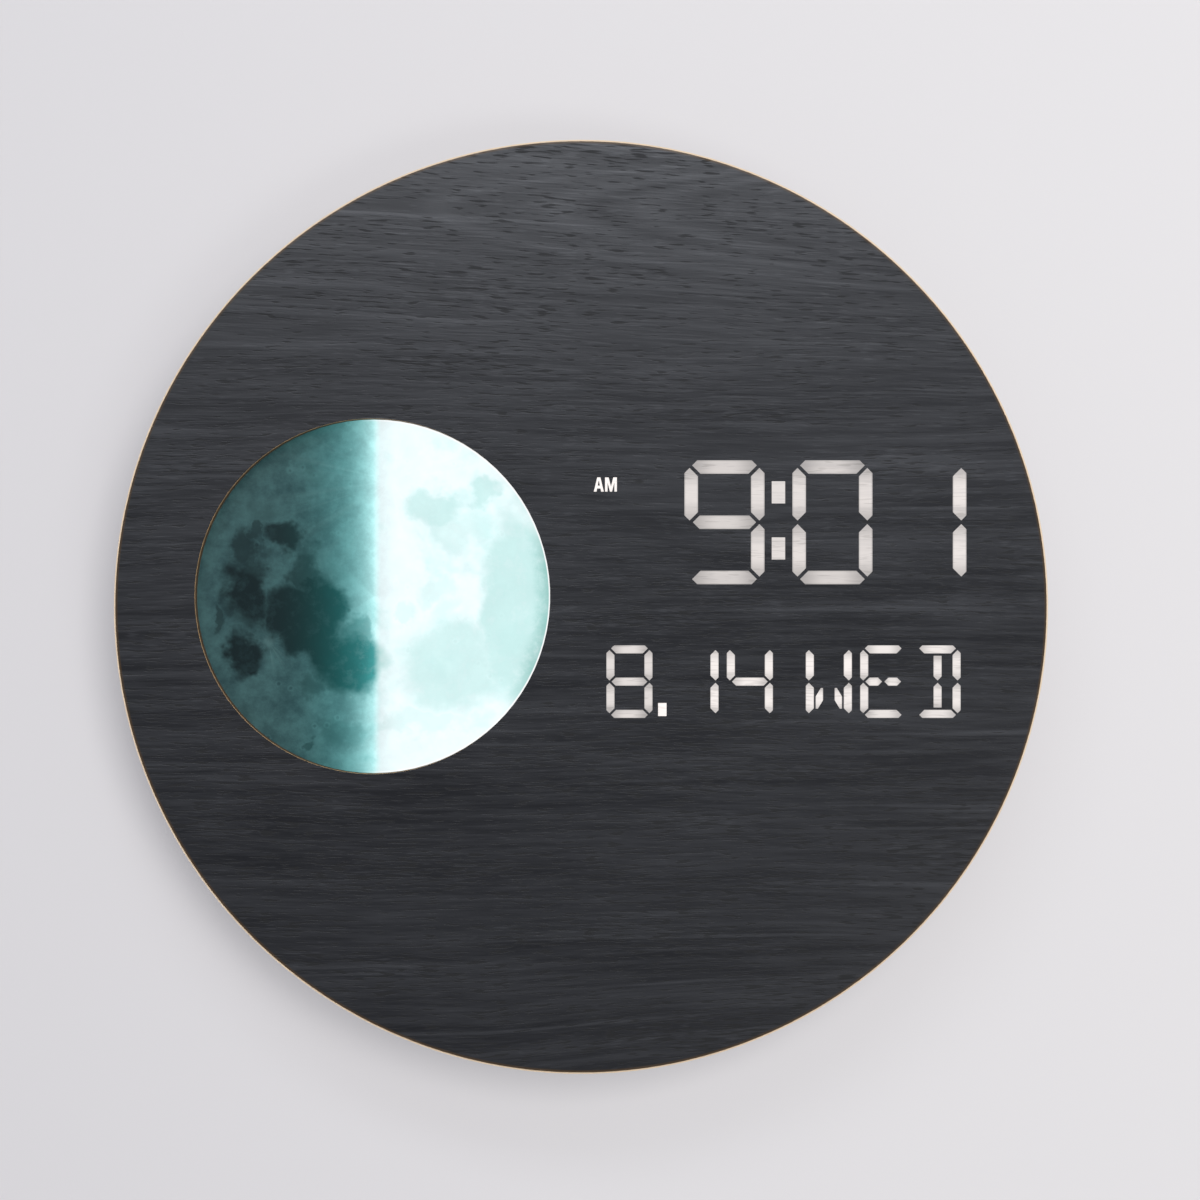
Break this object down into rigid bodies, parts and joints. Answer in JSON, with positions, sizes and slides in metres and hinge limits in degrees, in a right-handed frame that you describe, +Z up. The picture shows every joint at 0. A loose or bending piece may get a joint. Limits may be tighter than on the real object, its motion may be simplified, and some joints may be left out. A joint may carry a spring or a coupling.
{
  "type": "moon phase clock",
  "caption": "Round wall clock with a black wood-grain face, a round backlit moon window that shows the phase, and a lit digital time and date display behind the face.",
  "frame": {"origin": "centre of the flat back that lies on the wall, on the axis of the round face", "axes": "+Z up, +Y out of the back into the wall, the face looks along -Y, and +X is to the right of somebody who reads the clock"},
  "size_m": [0.3, 0.028, 0.3],
  "materials": {
    "wood_grain_film": "embossed satin film with a fine wood grain",
    "fibreboard": "cut edge of medium density fibreboard",
    "diffuser_sheet": "matt translucent sheet",
    "white_moulding": "matt white moulding",
    "circuit_board": "green solder mask",
    "led_package": "white case with a yellow window",
    "chip_package": "black epoxy",
    "moon_print_acrylic": "opal acrylic with a printed moon",
    "bright_can": "bright metal",
    "capacitor_can": "bright can with a plastic base",
    "buzzer_case": "black moulding",
    "spring_steel": "tinned spring steel",
    "connector_shell": "ivory moulding",
    "ribbon_cable": "grey vinyl",
    "switch_case": "black moulding",
    "black_moulding": "fine textured black plastic",
    "zinc_plated_steel": "zinc plated sheet",
    "button_moulding": "satin black plastic"
  },
  "bodies": {
    "clock": {"front_film": "wood_grain_film", "front_board": "fibreboard", "display_diffuser": "diffuser_sheet", "display_mask": "white_moulding", "display_led_board": "circuit_board", "display_leds": "led_package", "display_driver_chips": "chip_package", "moon_lens": "moon_print_acrylic", "moon_light_box": "white_moulding", "moon_led_board": "circuit_board", "moon_leds": "led_package", "control_board": "circuit_board", "controller_chip": "chip_package", "crystal": "bright_can", "capacitor": "capacitor_can", "buzzer": "buzzer_case", "coin_cell": "bright_can", "coin_cell_strap": "spring_steel", "connectors": "connector_shell", "display_ribbon": "ribbon_cable", "moon_ribbon": "ribbon_cable", "switch_bodies": "switch_case", "power_socket_shell": "spring_steel", "power_socket_tongue": "chip_package", "rear_housing": "black_moulding", "hanger_plate_left": "zinc_plated_steel", "hanger_plate_right": "zinc_plated_steel"},
    "set_button": {"set_button_cap": "button_moulding", "set_switch_plunger": "switch_case"},
    "down_button": {"down_button_cap": "button_moulding", "down_switch_plunger": "switch_case"},
    "up_button": {"up_button_cap": "button_moulding", "up_switch_plunger": "switch_case"},
    "moon_button": {"moon_button_cap": "button_moulding", "moon_switch_plunger": "switch_case"}
  },
  "joints": [
    {"name": "set_press", "type": "slide", "parent": "clock", "child": "set_button", "axis": [0, 0, 1], "range_m": [0, 0.0005], "stiffness_N_per_m": 2000, "springref_m": -0.0005},
    {"name": "down_press", "type": "slide", "parent": "clock", "child": "down_button", "axis": [0, 0, 1], "range_m": [0, 0.0005], "stiffness_N_per_m": 2000, "springref_m": -0.0005},
    {"name": "up_press", "type": "slide", "parent": "clock", "child": "up_button", "axis": [0, 0, 1], "range_m": [0, 0.0005], "stiffness_N_per_m": 2000, "springref_m": -0.0005},
    {"name": "moon_press", "type": "slide", "parent": "clock", "child": "moon_button", "axis": [0, 0, 1], "range_m": [0, 0.0005], "stiffness_N_per_m": 2000, "springref_m": -0.0005}
  ]
}
